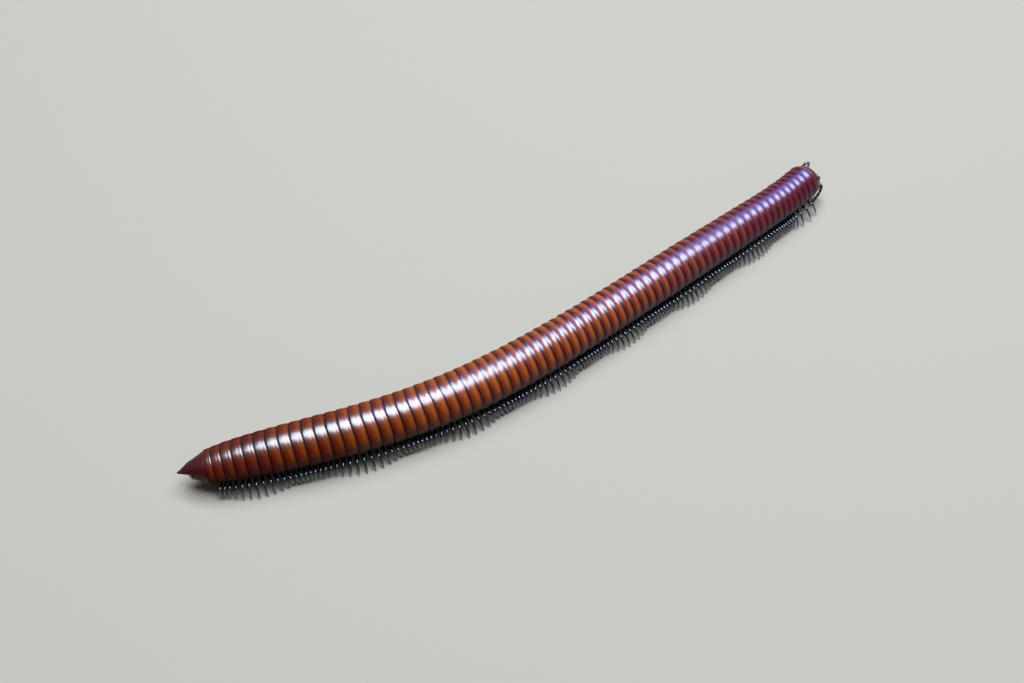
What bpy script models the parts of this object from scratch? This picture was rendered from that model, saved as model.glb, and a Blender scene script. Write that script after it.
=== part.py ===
"""Asian giant millipede, life size, walking with its body in one gentle S.

Closed solids in metres, +Z up, the floor at z = 0 and the head towards +X.
The body follows one line on the floor. A place on the animal is given by its
station along that line from the tail tip, its distance to the animal's left,
and its height, all in millimetres, and to_world() carries it to the model.
"""
import math

import bmesh
import bpy
import numpy as np

# The body line: its length, and its direction, which turns left twice on the way to the head
LENGTH = 203.0
DIRECTION_AT_TAIL = -15.5
LONG_BEND = (23.1, 73.3, 33.9)  # degrees, station of its middle, half length
HEAD_TURN = (7.5, 190.0, 5.0)
LINE_STEP = 0.25
OVERRUN = 12.0
MIDDLE = (101.04, -9.91)  # middle of the animal's box, from the tail tip

# The trunk: its thickness, and how high it is carried
THICKEST = 13.0
TAIL_TAPER = (5.85, 11.27)
SHOULDER_LOSS = (1.19, 106.7, 21.6)
NECK_LOSS = (1.73, 144.7, 56.7)
BELLY_CLEARANCE = 2.1
LEVEL_SHARE = 0.35

# The rings, counted from the tail
RING_COUNT = 70
RINGS_FROM = 7.93
RINGS_TO = 197.3
COLLUM_END = 199.8
REAR_PITCH = 3.20
MIDDLE_PITCH = 2.56
NECK_PITCH = 1.93
TO_MIDDLE_PITCH = (8.4, 32.9)  # the ring where the pitch starts to shrink, and over how many rings
TO_NECK_PITCH = (55.5, 11.9)
LAST_RING_SQUEEZE = (0.35, 1.6)
BAND_END = 0.56  # share of a ring that its raised rear band takes
SLEEVE_END = 0.93  # where the front sleeve slides under the next ring
SLEEVE = 0.945  # radius of the sleeve over that of the band
TRUNK_LENGTHS = 12
RING_SIDES = 14
GAP = 0.3

# The legs: sideways places, heights above the belly, and where each pair grows on its ring
LEGLESS_TAIL_RINGS = 1
SINGLE_PAIR_RINGS = 3  # behind the collar plate
PAIRS = (0.25, 0.75)
SINGLE_PAIR = (0.5,)
ROOT = (1.0, 1.4)
HIP = (0.40, 0.2)  # sideways as a share of the trunk's radius
KNEE = (0.92, 1.0)  # sideways as a share of the foot's reach
FOOT_REACH = (2.4, 0.83)  # a base and a share of the trunk's radius
STRETCH = 2.0  # how much further the feet reach where the legs are spread
LEG_RADII = (0.55, 0.50, 0.42, 0.27)  # from root to foot, where a ring is as long as MIDDLE_PITCH
LEG_SCALE = (0.80, 1.10)
LEG_SIDES = 3

# The walking wave: feet bunch and lift every few rings, in step on both sides, and spread between
WAVE_RINGS = 9.16
WAVE_START = 15.7  # a ring whose feet are furthest forward, ahead of which they bunch
SWING = 0.62  # how far a foot swings along the body, as a share of its ring's length
KNEE_SWING = 0.6
LIFT_FROM = 0.6
LIFT = 1.0
KNEE_LIFT = 0.5
UNEVEN = 0.06
SEED = 7

# The ends: rows of (station or forward, half width, top, bottom), heights from the trunk's middle
END_SIDES = 16
COLLUM_SHARES = [(0.0, 1.0), (0.4, 0.99), (0.75, 0.95), (1.0, 0.86)]
COLLUM_BELLY = 0.94
HEAD_ROWS = [
    (0.15, 4.20, 3.95, -4.60),
    (0.80, 4.25, 3.80, -4.80),
    (1.50, 4.05, 3.30, -4.85),
    (2.20, 3.50, 2.40, -4.70),
    (2.70, 2.75, 1.40, -4.20),
    (3.05, 1.80, 0.30, -3.20),
    (3.25, 0.70, -0.70, -2.00),
]
CHIN_ROWS = [
    (0.15, 2.30, -4.00, -4.85),
    (0.80, 2.50, -4.00, -5.25),
    (1.50, 2.25, -4.00, -5.35),
    (2.05, 1.65, -4.00, -5.10),
]
TELSON_ROWS = [
    (7.78, 4.35, 4.35, -4.35),
    (6.60, 3.75, 4.00, -3.95),
    (5.50, 3.20, 3.60, -3.40),
    (4.80, 2.80, 3.20, -3.05),
    (4.45, 2.45, 2.85, -2.75),
]
TAIL_SPINE_ROWS = [
    (6.30, 1.40, 3.20, 1.00),
    (5.00, 1.95, 3.35, 0.85),
    (4.20, 2.05, 2.95, 0.75),
    (3.20, 1.75, 2.30, 0.60),
    (2.00, 1.15, 1.60, 0.25),
    (0.90, 0.55, 0.90, 0.08),
    (0.00, 0.14, 0.42, 0.16),
]
VALVE_ROWS = [
    (4.15, 2.25, 0.40, -2.60),
    (3.60, 2.05, 0.25, -2.45),
    (3.05, 1.65, -0.05, -2.05),
    (2.70, 0.90, -0.50, -1.60),
]

# The head's pieces, as (forward of the collum, left, up from the trunk's middle) on the left side
CHEEK = ((1.70, 3.10, -2.60), (1.40, 1.05, 1.75))  # centre and half sizes
LIP = ((2.45, 0.85, -4.25), (0.65, 1.05, 0.55))
MOUTH = ((2.05, 0.0, -4.95), (0.16, 2.40, 0.75))  # the slot between the lip and the chin plate
EYE_CENTRE = (1.42, 2.90, 1.95)
EYE_HALF = (0.74, 0.66, 0.36)  # along the head, up the side, outwards
EYE_OUTWARDS = (0.20, 0.70, 0.68)
ANTENNA_PATHS = {
    "antenna_left": [
        (2.60, 3.45, -0.25),
        (2.90, 3.75, -0.05),
        (3.65, 3.60, 0.45),
        (4.50, 3.25, 0.40),
        (5.20, 3.30, -0.70),
        (5.55, 3.45, -2.05),
        (5.70, 3.50, -3.45),
        (5.65, 3.45, -4.25),
    ],
    "antenna_right": [
        (2.05, -3.95, -0.60),
        (1.95, -4.38, -0.80),
        (1.50, -4.80, -1.45),
        (0.80, -5.00, -2.35),
        (0.00, -5.05, -3.45),
        (-0.65, -4.95, -4.65),
        (-1.05, -4.75, -5.60),
        (-1.25, -4.60, -6.10),
    ],
}
SOCKET_RADIUS = 0.50
ANTENNA_SIDES = 8
ANTENNA_RADIUS = (0.27, 0.42)  # at the waist and at the wide end of each joint


def smooth(x):
    """Smooth step from 0 to 1 as x goes from 0 to 1."""
    x = np.clip(x, 0.0, 1.0)
    return x * x * (3.0 - 2.0 * x)


def after(place, start, length):
    """Smooth step from 0 to 1 over a length that starts at a place."""
    return smooth((place - start) / length)


def turn(station, degrees, middle, half_length):
    """A smooth turn of so many degrees, centred on a station."""
    return degrees * 0.5 * (1.0 + np.tanh((station - middle) / half_length))


def body_line():
    """Stations, left-hand directions and points of the body line, in millimetres."""
    station = np.arange(-OVERRUN, LENGTH + OVERRUN, LINE_STEP)
    angle = np.radians(DIRECTION_AT_TAIL + turn(station, *LONG_BEND) + turn(station, *HEAD_TURN))
    middle = (angle[1:] + angle[:-1]) / 2.0
    x = np.concatenate([[0.0], np.cumsum(np.cos(middle) * LINE_STEP)])
    y = np.concatenate([[0.0], np.cumsum(np.sin(middle) * LINE_STEP)])
    x -= np.interp(0.0, station, x) + MIDDLE[0]
    y -= np.interp(0.0, station, y) + MIDDLE[1]
    return station, angle, x, y


LINE = body_line()


def radius(station):
    """Half the trunk's thickness at a station."""
    thickness = THICKEST * (1.0 - np.exp(-(station + TAIL_TAPER[0]) / TAIL_TAPER[1]))
    thickness = thickness - turn(station, *SHOULDER_LOSS)
    thickness = thickness - NECK_LOSS[0] * after(station, NECK_LOSS[1], NECK_LOSS[2])
    return thickness / 2.0


def axis_height(station):
    """Height of the trunk's middle, which sinks a little where the trunk is thinner."""
    full = THICKEST / 2.0
    return BELLY_CLEARANCE + LEVEL_SHARE * full + (1.0 - LEVEL_SHARE) * radius(station)


def to_world(points):
    """Turns points (station, left, height), in millimetres, into places in the model, in metres."""
    points = np.asarray(points, dtype=float)
    station, left, height = points[..., 0], points[..., 1], points[..., 2]
    line_station, line_angle, line_x, line_y = LINE
    angle = np.interp(station, line_station, line_angle)
    x = np.interp(station, line_station, line_x) - left * np.sin(angle)
    y = np.interp(station, line_station, line_y) + left * np.cos(angle)
    return np.stack([x, y, height], axis=-1) / 1000.0


def ring_stations():
    """Stations of the rings' rear edges, with the front edge of the last one at the end."""
    ring = np.arange(RING_COUNT)
    pitch = REAR_PITCH - (REAR_PITCH - MIDDLE_PITCH) * after(ring, *TO_MIDDLE_PITCH)
    pitch = pitch - (MIDDLE_PITCH - NECK_PITCH) * after(ring, *TO_NECK_PITCH)
    pitch = pitch * (1.0 - LAST_RING_SQUEEZE[0] * np.exp(-ring / LAST_RING_SQUEEZE[1]))
    edges = np.concatenate([[0.0], np.cumsum(pitch)])
    return RINGS_FROM + (RINGS_TO - RINGS_FROM) * edges / edges[-1]


RINGS = ring_stations()


def material(name, colour, roughness):
    """A Principled material from an sRGB hex colour."""
    shade = bpy.data.materials.new(name)
    shade.use_nodes = True
    shader = shade.node_tree.nodes["Principled BSDF"]
    channels = [int(colour[place : place + 2], 16) / 255.0 for place in (1, 3, 5)]
    linear = [c / 12.92 if c < 0.04045 else ((c + 0.055) / 1.055) ** 2.4 for c in channels]
    shader.inputs["Base Color"].default_value = (*linear, 1.0)
    shader.inputs["Roughness"].default_value = roughness
    return shade


def solid(name, loops, collection):
    """A closed solid lofted through loops of points (loops, points, 3) in metres, capped at both ends."""
    loops = np.array(loops, dtype=float)
    rows, count = loops.shape[:2]
    first = np.arange(count)
    after = np.roll(first, -1)
    walls = [
        np.stack([first, after, after + count, first + count], axis=1) + row * count
        for row in range(rows - 1)
    ]
    faces = np.concatenate(walls).tolist()
    faces.append(first[::-1].tolist())
    faces.append((first + (rows - 1) * count).tolist())
    mesh = bpy.data.meshes.new(name)
    mesh.from_pydata(loops.reshape(-1, 3).tolist(), [], faces)
    tidy_mesh(mesh)
    made = bpy.data.objects.new(name, mesh)
    collection.objects.link(made)
    return made


def tidy_mesh(mesh):
    """Splits a mesh into triangles that all face outwards."""
    shape = bmesh.new()
    shape.from_mesh(mesh)
    bmesh.ops.triangulate(shape, faces=shape.faces)
    bmesh.ops.recalc_face_normals(shape, faces=shape.faces)
    shape.to_mesh(mesh)
    shape.free()


def keep_largest(mesh):
    """Deletes every closed surface of a mesh but the one with the most faces."""
    shape = bmesh.new()
    shape.from_mesh(mesh)
    unseen = set(shape.faces)
    surfaces = []
    while unseen:
        surface = set()
        edge_of_search = [unseen.pop()]
        while edge_of_search:
            face = edge_of_search.pop()
            surface.add(face)
            for edge in face.edges:
                for neighbour in edge.link_faces:
                    if neighbour in unseen:
                        unseen.remove(neighbour)
                        edge_of_search.append(neighbour)
        surfaces.append(surface)
    surfaces.sort(key=len)
    dropped = [face for surface in surfaces[:-1] for face in surface]
    bmesh.ops.delete(shape, geom=dropped, context="FACES")
    shape.to_mesh(mesh)
    shape.free()


def combine(target, pieces, operation):
    """One Boolean of a node with a collection of pieces, applied; the pieces are then removed."""
    group = bpy.data.collections.new(target.name + "_pieces")
    bpy.context.scene.collection.children.link(group)
    for piece in pieces:
        group.objects.link(piece)
        for other in piece.users_collection:
            if other != group:
                other.objects.unlink(piece)
    boolean = target.modifiers.new(operation.lower(), "BOOLEAN")
    boolean.operation = operation
    boolean.operand_type = "COLLECTION"
    boolean.collection = group
    boolean.solver = "EXACT"
    evaluated = target.evaluated_get(bpy.context.evaluated_depsgraph_get())
    mesh = bpy.data.meshes.new_from_object(evaluated)
    target.modifiers.clear()
    target.data = mesh
    keep_largest(mesh)
    for piece in list(group.objects):
        bpy.data.objects.remove(piece)
    bpy.data.collections.remove(group)


def oval(count, half_width, half_height):
    """Offsets (left, up) of a closed polygon on an oval, with a flat at the top and at the bottom."""
    angle = 2.0 * math.pi * (np.arange(count) + 0.5) / count + math.pi / 2.0
    return np.stack([half_width * np.cos(angle), half_height * np.sin(angle)], axis=-1)


def trunk_loop(station, share):
    """One polygon round the trunk at a station, at a share of its radius."""
    section = oval(RING_SIDES, radius(station) * share, radius(station) * share)
    stations = np.full(RING_SIDES, station)
    return np.stack([stations, section[:, 0], section[:, 1] + axis_height(station)], axis=-1)


def trunk_core(first, last):
    """Loops of the rings from first to last: a raised rear band, then a lower sleeve that dips in front."""
    loops = []
    for ring in range(first, last + 1):
        start, end = RINGS[ring], RINGS[ring + 1]
        if ring == first:
            start += GAP / 2.0
        band_end = start + BAND_END * (end - start)
        sleeve_end = start + SLEEVE_END * (end - start)
        if ring == last:
            sleeve_end = end - GAP / 2.0
        loops.append(trunk_loop(start, 1.0))
        loops.append(trunk_loop(band_end, 1.0))
        loops.append(trunk_loop(sleeve_end, SLEEVE))
    return loops


def leg(name, ring, share, side, unevenness, collection):
    """One leg from its root in the belly over hip and knee to a small flat foot."""
    pitch = RINGS[ring + 1] - RINGS[ring]
    station = RINGS[ring] + share * pitch
    thick = radius(station)
    belly = axis_height(station) - thick
    reach = FOOT_REACH[0] + FOOT_REACH[1] * thick + unevenness[1]
    phase = 2.0 * math.pi * (ring + share - WAVE_START) / WAVE_RINGS
    swing = SWING * pitch * math.cos(phase) + unevenness[0]
    lift = LIFT * max(0.0, math.sin(phase) - LIFT_FROM) / (1.0 - LIFT_FROM)
    stretch = STRETCH * max(0.0, -math.sin(phase))
    joints = [
        (station, ROOT[0], belly + ROOT[1]),
        (station, HIP[0] * thick, belly + HIP[1]),
        (station + KNEE_SWING * swing, KNEE[0] * reach, belly + KNEE[1] + KNEE_LIFT * lift),
        (station + swing, reach + stretch, lift),
    ]
    outer_sides = [(0.0, 1.0), (0.0, 1.0), (math.sqrt(0.5), math.sqrt(0.5)), (1.0, 0.0)]
    radii = np.array(LEG_RADII) * np.clip(pitch / MIDDLE_PITCH, *LEG_SCALE)
    angle = 2.0 * math.pi * np.arange(LEG_SIDES) / LEG_SIDES + math.pi / 2.0
    loops = []
    for (along, left, height), (leftwards, upwards), thickness in zip(joints, outer_sides, radii):
        outwards = thickness * np.sin(angle)
        stations = along + thickness * np.cos(angle)
        lefts = side * (left + leftwards * outwards)
        loops.append(np.stack([stations, lefts, height + upwards * outwards], axis=-1))
    return solid(name, to_world(loops), collection)


def trunk(collection, shade):
    """The trunk in lengths numbered from the head, each with its legs."""
    ends = np.round(np.linspace(0, RING_COUNT, TRUNK_LENGTHS + 1)).astype(int)
    draw = np.random.default_rng(SEED)
    for place in range(TRUNK_LENGTHS):
        first, last = int(ends[place]), int(ends[place + 1]) - 1
        name = f"trunk_{TRUNK_LENGTHS - place:02d}"
        node = solid(name, to_world(trunk_core(first, last)), collection)
        node.data.materials.append(shade)
        legs = []
        for ring in range(max(first, LEGLESS_TAIL_RINGS), last + 1):
            for share in SINGLE_PAIR if ring >= RING_COUNT - SINGLE_PAIR_RINGS else PAIRS:
                for side in (1, -1):
                    unevenness = draw.uniform(-UNEVEN, UNEVEN, 2)
                    legs.append(leg(f"{name}_leg", ring, share, side, unevenness, collection))
        combine(node, legs, "UNION")


def end_loops(rows, height, belly=1.0):
    """Ovals through rows of (station, half width, top, bottom) about a height."""
    loops = []
    for station, half_width, top, bottom in rows:
        section = oval(END_SIDES, half_width, (top - bottom) / 2.0)
        up = section[:, 1] * np.where(section[:, 1] < 0.0, belly, 1.0)
        stations = np.full(END_SIDES, station)
        loops.append(np.stack([stations, section[:, 0], up + (top + bottom) / 2.0 + height], axis=-1))
    return np.array(loops)


def collum(collection, shade):
    """The first plate: a broad collar with a rounded front rim."""
    start, end = RINGS_TO + GAP / 2.0, COLLUM_END - GAP / 2.0
    rows = []
    for share, width in COLLUM_SHARES:
        station = start + share * (end - start)
        thick = radius(station) * width
        rows.append((station, thick, thick, -thick))
    loops = end_loops(rows, axis_height(RINGS_TO), COLLUM_BELLY)
    node = solid("collum", to_world(loops), collection)
    node.data.materials.append(shade)


def head_to_world(points):
    """Places (forward of the collum, left, up from the trunk's middle) in the model."""
    shift = np.array([COLLUM_END, 0.0, axis_height(COLLUM_END)])
    return to_world(np.asarray(points, dtype=float) + shift)


def ball(name, centre, half, axes, collection, segments=12, rings=8):
    """An ellipsoid on the head: its centre, its half sizes, and the directions that they lie along."""
    shape = bmesh.new()
    bmesh.ops.create_uvsphere(shape, u_segments=segments, v_segments=rings, radius=1.0)
    unit = np.array([vertex.co[:] for vertex in shape.verts])
    placed = head_to_world(unit * np.array(half) @ np.array(axes) + np.array(centre))
    for vertex, place in zip(shape.verts, placed):
        vertex.co = place
    mesh = bpy.data.meshes.new(name)
    shape.to_mesh(mesh)
    shape.free()
    tidy_mesh(mesh)
    made = bpy.data.objects.new(name, mesh)
    collection.objects.link(made)
    return made


def eye_axes(side):
    """Directions along the head, up its side and outwards at an eye."""
    outwards = np.array([EYE_OUTWARDS[0], side * EYE_OUTWARDS[1], EYE_OUTWARDS[2]])
    outwards = outwards / np.linalg.norm(outwards)
    along = np.array([1.0, 0.0, 0.0]) - outwards * outwards[0]
    along = along / np.linalg.norm(along)
    return [along, np.cross(outwards, along), outwards]


def mirrored(point, side):
    """A point of the left side, or its mirror image on the right."""
    return np.array([point[0], side * point[1], point[2]])


def head(collection, shade, eye_shade):
    """The head capsule with its cheeks, chin plate, lip and mouth line, and the eyes in their sockets."""
    loops = end_loops(HEAD_ROWS, 0.0)
    node = solid("head", head_to_world(loops), collection)
    node.data.materials.append(shade)
    straight = np.eye(3)
    added = [solid("chin", head_to_world(end_loops(CHIN_ROWS, 0.0)), collection)]
    for side in (1, -1):
        added.append(ball(f"cheek_{side}", mirrored(CHEEK[0], side), CHEEK[1], straight, collection))
        added.append(ball(f"lip_{side}", mirrored(LIP[0], side), LIP[1], straight, collection))
    for name, path in ANTENNA_PATHS.items():
        root, next_joint = np.array(path[0]), np.array(path[1])
        inwards = (root - next_joint) / np.linalg.norm(root - next_joint)
        centre = root + inwards * (SOCKET_RADIUS + GAP)
        added.append(ball(f"{name}_socket", centre, [SOCKET_RADIUS] * 3, straight, collection, 8, 6))
    combine(node, added, "UNION")
    hollows = [ball("mouth", MOUTH[0], MOUTH[1], straight, collection)]
    for side, name in ((1, "eye_left"), (-1, "eye_right")):
        centre = mirrored(EYE_CENTRE, side)
        socket = np.array(EYE_HALF) + GAP
        hollows.append(ball(f"socket_{side}", centre, socket, eye_axes(side), collection))
        eye = ball(name, centre, EYE_HALF, eye_axes(side), collection)
        eye.data.materials.append(eye_shade)
    combine(node, hollows, "DIFFERENCE")


def antenna(name, path, collection, shade):
    """A feeler of seven club-shaped joints, tapered at its tip."""
    path = np.array(path)
    waist, wide = ANTENNA_RADIUS
    centres, widths = [], []
    for start, end in zip(path[:-1], path[1:]):
        for share, width in ((0.0, waist), (0.65, wide), (0.95, wide * 0.93)):
            centres.append(start + share * (end - start))
            widths.append(width)
    centres.append(path[-1])
    widths.append(waist * 0.6)
    centres, widths = np.array(centres), np.array(widths)
    along = np.gradient(centres, axis=0)
    along = along / np.linalg.norm(along, axis=1)[:, None]
    across = np.cross(along, (0.0, 0.0, 1.0)) + np.cross(along, (1.0, 0.0, 0.0))
    across = across / np.linalg.norm(across, axis=1)[:, None]
    third = np.cross(along, across)
    angle = 2.0 * math.pi * np.arange(ANTENNA_SIDES) / ANTENNA_SIDES
    ring = np.cos(angle)[None, :, None] * across[:, None] + np.sin(angle)[None, :, None] * third[:, None]
    loops = centres[:, None] + widths[:, None, None] * ring
    node = solid(name, head_to_world(loops), collection)
    node.data.materials.append(shade)


def telson(collection, shade, valve_shade):
    """The last segment with its tail spine, and the two valves that close it below."""
    height = axis_height(RINGS_FROM)
    node = solid("telson", to_world(end_loops(TELSON_ROWS, height)), collection)
    node.data.materials.append(shade)
    spine = solid("tail_spine", to_world(end_loops(TAIL_SPINE_ROWS, height)), collection)
    combine(node, [spine], "UNION")
    angle = np.radians(np.linspace(-90.0, 90.0, 9))
    for side, name in ((1, "valve_left"), (-1, "valve_right")):
        loops = []
        for station, half_width, top, bottom in VALVE_ROWS:
            left = side * (GAP / 2.0 + (half_width - GAP / 2.0) * np.cos(angle))
            up = (top + bottom) / 2.0 + (top - bottom) / 2.0 * np.sin(angle) + height
            loops.append(np.stack([np.full(len(angle), station), left, up], axis=-1))
        valve = solid(name, to_world(loops), collection)
        valve.data.materials.append(valve_shade)


def main():
    for leftover in list(bpy.data.objects):
        bpy.data.objects.remove(leftover)
    millipede = bpy.data.collections.new("giant_millipede")
    bpy.context.scene.collection.children.link(millipede)
    cuticle = material("ring_cuticle", "#5A1C14", 0.25)
    head_cuticle = material("head_cuticle", "#6A2114", 0.3)
    black = material("black_cuticle", "#120E10", 0.25)
    trunk(millipede, cuticle)
    collum(millipede, cuticle)
    head(millipede, head_cuticle, black)
    for name, path in ANTENNA_PATHS.items():
        antenna(name, path, millipede, black)
    telson(millipede, cuticle, head_cuticle)


main()
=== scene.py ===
"""Looks of the life-size giant millipede: glossy rings, legs, head, feelers and pointed tail.

A place on the animal is (station along the body from the tail tip, left, height), in millimetres,
and to_world() carries it to the model in metres, as for the solids. On the head it is
(forward of the collar plate, left, up from the trunk's middle), and head_to_world() carries it.
"""

import math

import bmesh
import bpy
import numpy as np
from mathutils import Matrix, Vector


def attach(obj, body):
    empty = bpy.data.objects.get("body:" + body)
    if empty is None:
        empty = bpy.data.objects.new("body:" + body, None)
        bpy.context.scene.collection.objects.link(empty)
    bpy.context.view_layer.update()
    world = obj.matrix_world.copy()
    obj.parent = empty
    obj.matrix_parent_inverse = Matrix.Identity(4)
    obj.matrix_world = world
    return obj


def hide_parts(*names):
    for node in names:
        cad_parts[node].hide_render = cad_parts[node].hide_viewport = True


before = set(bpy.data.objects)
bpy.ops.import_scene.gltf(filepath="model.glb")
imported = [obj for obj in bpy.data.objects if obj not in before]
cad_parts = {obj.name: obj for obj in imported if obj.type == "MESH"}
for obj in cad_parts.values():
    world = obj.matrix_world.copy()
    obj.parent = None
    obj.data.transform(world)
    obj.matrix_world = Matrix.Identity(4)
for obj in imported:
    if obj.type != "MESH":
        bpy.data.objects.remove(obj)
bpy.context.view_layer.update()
BODY = "root"

# The body line, the trunk's thickness and its height, as in the solids
LENGTH = 203.0
DIRECTION_AT_TAIL = -15.5
LONG_BEND = (23.1, 73.3, 33.9)  # degrees, station of its middle, half length
HEAD_TURN = (7.5, 190.0, 5.0)
LINE_STEP = 0.25
OVERRUN = 12.0
MIDDLE = (101.04, -9.91)
THICKEST = 13.0
TAIL_TAPER = (5.85, 11.27)
SHOULDER_LOSS = (1.19, 106.7, 21.6)
NECK_LOSS = (1.73, 144.7, 56.7)
BELLY_CLEARANCE = 2.1
LEVEL_SHARE = 0.35

# The rings, counted from the tail
RING_COUNT = 70
RINGS_FROM = 7.93
RINGS_TO = 197.3
COLLUM_END = 199.8
REAR_PITCH = 3.20
MIDDLE_PITCH = 2.56
NECK_PITCH = 1.93
TO_MIDDLE_PITCH = (8.4, 32.9)  # the ring where the pitch starts to shrink, and over how many rings
TO_NECK_PITCH = (55.5, 11.9)
LAST_RING_SQUEEZE = (0.35, 1.6)
TRUNK_LENGTHS = 12
GAP = 0.3

# One ring from its free rear edge forwards: (share of its length, depth under the band)
RING_PROFILE = [
    (0.030, 0.42),
    (-0.008, 0.33),
    (-0.020, 0.21),
    (-0.012, 0.10),
    (0.022, 0.03),
    (0.080, 0.00),
    (0.180, -0.008),
    (0.310, -0.01),
    (0.440, -0.005),
    (0.540, 0.015),
    (0.600, 0.04),
    (0.650, 0.05),
    (0.740, 0.055),
    (0.820, 0.08),
    (0.900, 0.15),
    (0.965, 0.27),
    (1.000, 0.38),
]
PROFILE_ROWS = 31
ROUND_STEPS = 96
RING_UNEVEN = 0.02  # how far a ring stands out or in, in millimetres
CREST_SHARE = 0.20  # where a ring is thickest, as a share of its length
CREST_HEIGHTS = {30.0: 0.02, 60.0: 0.06, 87.0: 0.16, 112.0: 0.24, 137.0: 0.18, 158.0: 0.06, 175.0: 0.11}
GROOVE_FADE = (45.0, 45.0)  # the grooves get shallower from this station on, over this length
GROOVE_LOSS = (0.60, 0.93)  # what they lose on the flanks, and along the back
# How far the back of a ring is set forwards, as a share of its length, by station
BACK_SHIFT = {20.0: -0.10, 70.0: -0.10, 95.0: 0.0, 150.0: 0.0, 172.0: 0.12, 198.0: 0.15}
BACK_WIDTH = 0.60  # half width of the back in radians, for the shift and the shallow grooves
BELLY_FURROW = (0.35, 0.30)  # depth, and half width in radians

# The legs and the walking wave, as in the solids
LEGLESS_TAIL_RINGS = 1
SINGLE_PAIR_RINGS = 3
PAIRS = (0.25, 0.75)
SINGLE_PAIR = (0.5,)
ROOT = (1.0, 1.4)
HIP = (0.40, 0.2)
KNEE = (0.92, 1.0)
FOOT_REACH = (2.4, 0.83)
STRETCH = 2.0
LEG_SCALE = (0.80, 1.10)
WAVE_RINGS = 9.16
WAVE_START = 15.7
SWING = 0.62
KNEE_SWING = 0.6
LIFT_FROM = 0.6
LIFT = 1.0
KNEE_LIFT = 0.5
UNEVEN = 0.06
SEED = 7
LEG_SIDES = 6
CLAW_HEIGHT = 0.06
THIGH_ARCH = 0.35
SHIN_BOW = 0.25

# A leg's joints from root to claw: (share of the way, thickness)
LEG_JOINTS = [
    (0.00, 0.48),
    (0.20, 0.47),
    (0.23, 0.38),
    (0.42, 0.47),
    (0.58, 0.44),
    (0.62, 0.34),
    (0.80, 0.36),
    (0.86, 0.21),
    (1.00, 0.03),
]

# The ends: rows of (station or forward, half width, top, bottom), heights from the trunk's middle
COLLUM_PROFILE = [
    (0.00, 0.60),
    (-0.012, 0.45),
    (-0.012, 0.22),
    (0.02, 0.08),
    (0.08, 0.01),
    (0.25, -0.06),
    (0.42, -0.04),
    (0.60, 0.06),
    (0.75, 0.20),
    (0.84, 0.32),
    (0.88, 0.34),
    (0.94, 0.42),
    (0.985, 0.55),
    (1.00, 0.70),
    (0.98, 0.88),
]
COLLUM_BELLY = 0.94
COLLUM_FURROWS = (0.22, 0.42, 0.62)  # shares of its length, low on each side
HEAD_ROWS = [
    (-0.02, 3.90, 3.75, -4.40),
    (0.20, 4.18, 3.93, -4.60),
    (0.80, 4.25, 3.80, -4.80),
    (1.50, 4.05, 3.30, -4.85),
    (2.20, 3.50, 2.40, -4.70),
    (2.70, 2.75, 1.40, -4.20),
    (3.05, 1.80, 0.30, -3.20),
    (3.22, 0.80, -0.60, -2.10),
    (3.27, 0.12, -1.25, -1.45),
]
CHIN_ROWS = [
    (0.10, 2.20, -4.10, -4.75),
    (0.25, 2.35, -4.00, -4.90),
    (0.80, 2.50, -4.00, -5.25),
    (1.50, 2.25, -4.00, -5.35),
    (1.90, 1.85, -4.00, -5.22),
    (2.05, 1.40, -4.10, -5.00),
]
TELSON_ROWS = [
    (7.95, 4.10, 4.10, -4.10),
    (7.70, 4.32, 4.33, -4.32),
    (6.60, 3.75, 4.00, -3.95),
    (5.50, 3.20, 3.60, -3.40),
    (4.80, 2.86, 3.26, -3.11),
    (4.50, 2.62, 3.02, -2.90),
    (4.42, 2.30, 2.70, -2.55),
]
TAIL_SPINE_ROWS = [
    (6.30, 1.40, 3.20, 1.00),
    (5.00, 1.95, 3.35, 0.85),
    (4.20, 2.05, 2.95, 0.75),
    (3.20, 1.75, 2.30, 0.60),
    (2.00, 1.15, 1.60, 0.25),
    (0.90, 0.55, 0.90, 0.08),
    (0.20, 0.22, 0.52, 0.12),
    (0.00, 0.05, 0.34, 0.24),
]
VALVE = (4.30, 2.70, 2.22, 0.38, -2.60)  # stations of root and top, half width, top and bottom
VALVE_RIM = (0.14, 0.16)  # height, and half width
LOWER_SCALE = ((4.05, 0.0, -2.72), (0.55, 1.10, 0.30))

# The head's pieces, as (forward of the collum, left, up from the trunk's middle) on the left side
CHEEK = ((1.70, 3.10, -2.60), (1.40, 1.05, 1.75))
LIP = ((2.45, 0.85, -4.25), (0.65, 1.05, 0.55))
LIP_TOOTH = (0.13, 0.10, 0.24)  # half sizes
EYE_CENTRE = (1.42, 2.90, 1.95)
EYE_HALF = (0.74, 0.66, 0.36)
EYE_OUTWARDS = (0.20, 0.70, 0.68)
EYE_SPACING = 0.165
EYE_LENS = 0.088
ANTENNA_PATHS = {
    "antenna_left": [
        (2.60, 3.45, -0.25),
        (2.90, 3.75, -0.05),
        (3.65, 3.60, 0.45),
        (4.50, 3.25, 0.40),
        (5.20, 3.30, -0.70),
        (5.55, 3.45, -2.05),
        (5.70, 3.50, -3.45),
        (5.65, 3.45, -4.25),
    ],
    "antenna_right": [
        (2.05, -3.95, -0.60),
        (1.95, -4.38, -0.80),
        (1.50, -4.80, -1.45),
        (0.80, -5.00, -2.35),
        (0.00, -5.05, -3.45),
        (-0.65, -4.95, -4.65),
        (-1.05, -4.75, -5.60),
        (-1.25, -4.60, -6.10),
    ],
}
ANTENNA_JOINT = [(0.00, 0.25), (0.08, 0.30), (0.35, 0.36), (0.65, 0.42), (0.85, 0.42), (0.95, 0.37)]
SOCKET_RADIUS = 0.50
HEAD_MIDDLE = (1.2, 0.0, -0.8)
FEELER_ROOT_DEPTH = 0.8  # how far a feeler's first joint starts inside the head

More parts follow.
